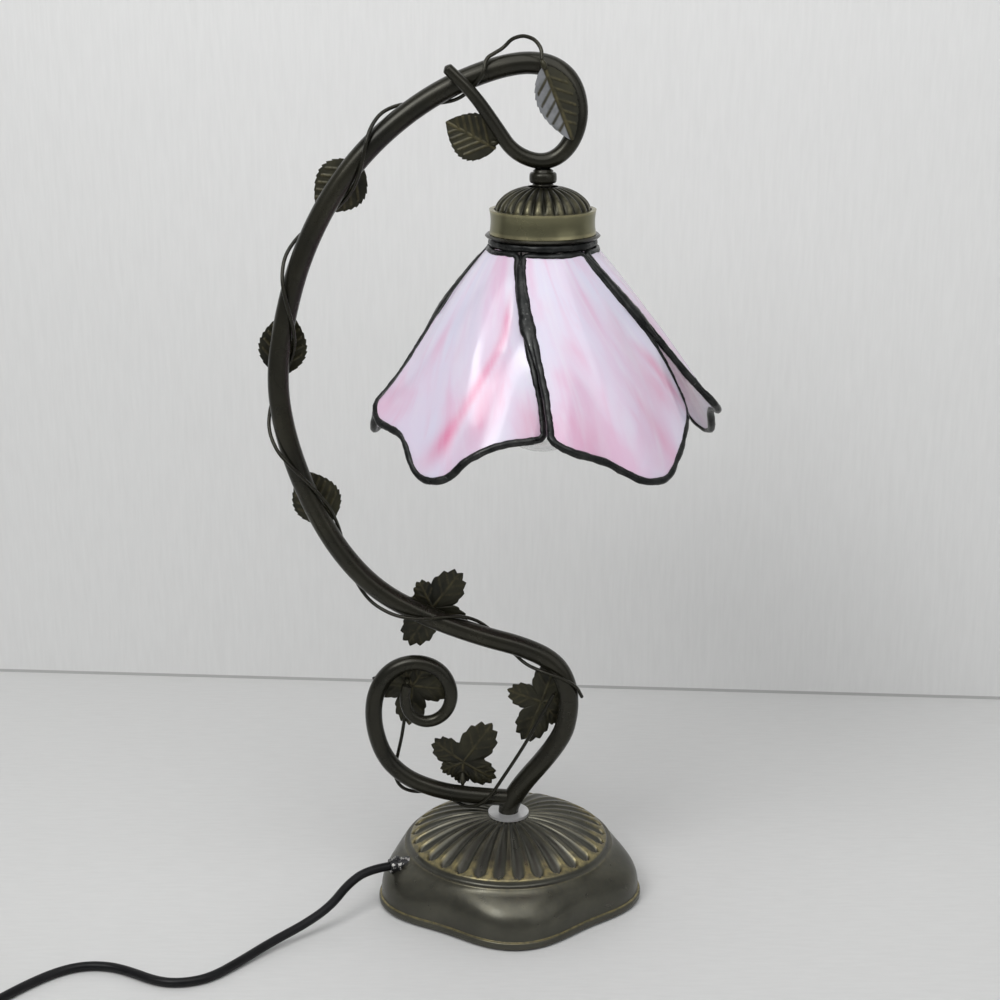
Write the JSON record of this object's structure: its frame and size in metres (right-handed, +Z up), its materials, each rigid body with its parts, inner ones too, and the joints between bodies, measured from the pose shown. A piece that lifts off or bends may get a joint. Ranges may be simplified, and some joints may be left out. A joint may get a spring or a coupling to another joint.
{
  "type": "table lamp",
  "caption": "Table lamp with a bent stem wound with a wire vine and leaves, a hanging flower shade of bent glass petals, a lobed bronze base and a plugged cord.",
  "frame": {"origin": "centre of the base on the surface it stands on", "axes": "+Z up; -Y is the front, the side the picture shows; +X to the right of that view"},
  "size_m": [0.5052, 0.322, 0.483],
  "materials": {
    "bronze_base": "antique bronze with gold-rubbed ridges",
    "bronze_dark": "dark bronze, satin",
    "bronze_head": "antique bronze, rubbed brass edges",
    "steel": "zinc plated",
    "felt": "felt",
    "petal_glass": "opalescent rose glass",
    "solder": "black patina solder bead",
    "porcelain": "glazed",
    "brass": "plain",
    "bulb_glass": "clear",
    "bulb_metal": "plain",
    "filament": "coated strip",
    "cord": "satin",
    "black_plastic": "satin"
  },
  "bodies": {
    "stand": {"base_casting": "bronze_base", "base_plate": "steel", "base_screws": "steel", "stem_washer": "steel", "base_nipple": "steel", "base_lock_washer": "steel", "base_nut": "steel", "head_nipple": "steel", "head_nut": "steel", "base_felt": "felt", "stem_tube": "bronze_dark", "scroll_tube": "bronze_dark", "vine_wire": "bronze_dark", "vine_tendril": "bronze_dark", "stem_loop": "bronze_dark", "ball_coupling": "bronze_dark", "leaf_1": "bronze_dark", "leaf_2": "bronze_dark", "leaf_3": "bronze_dark", "leaf_4": "bronze_dark", "leaf_5": "bronze_dark", "leaf_6": "bronze_dark", "leaf_7": "bronze_dark", "leaf_8": "bronze_dark", "leaf_9": "bronze_dark", "canopy": "bronze_head", "fitter_collar": "bronze_head", "lampholder_cap": "bronze_head", "lampholder_body": "porcelain", "lampholder_ring": "porcelain", "lampholder_shell": "brass", "lampholder_contact": "brass", "plug_blades": "brass", "inner_wire": "cord", "cord_lead": "cord", "cord_link": "cord", "cord_coil": "cord", "cord_tail": "cord", "cord_gland": "black_plastic", "switch_lower": "black_plastic", "switch_upper": "black_plastic", "cord_tie": "black_plastic", "plug_body": "black_plastic"},
    "shade": {"shade_ring": "bronze_head", "neck_band": "bronze_head", "petal_1": "petal_glass", "petal_2": "petal_glass", "petal_3": "petal_glass", "petal_4": "petal_glass", "petal_5": "petal_glass", "came_1": "solder", "came_2": "solder", "came_3": "solder", "came_4": "solder", "came_5": "solder"},
    "bulb": {"bulb_cap": "bulb_metal", "bulb_glass": "bulb_glass", "bulb_stem": "bulb_glass", "bulb_filaments": "filament"},
    "rocker": {"switch_rocker": "black_plastic"}
  },
  "joints": [
    {"name": "shade_turn", "type": "hinge", "parent": "stand", "child": "shade", "pos_m": [0.0176, 0, 0.38], "axis": [0, 0, 1], "continuous": true},
    {"name": "bulb_turn", "type": "hinge", "parent": "stand", "child": "bulb", "pos_m": [0.0176, 0, 0.34], "axis": [0, 0, -1], "range_deg": [0, 360]},
    {"name": "rocker_tilt", "type": "hinge", "parent": "stand", "child": "rocker", "pos_m": [-0.3, -0.175, 0.014], "axis": [-0.8, 0.6, 0], "range_deg": [0, 14]}
  ]
}
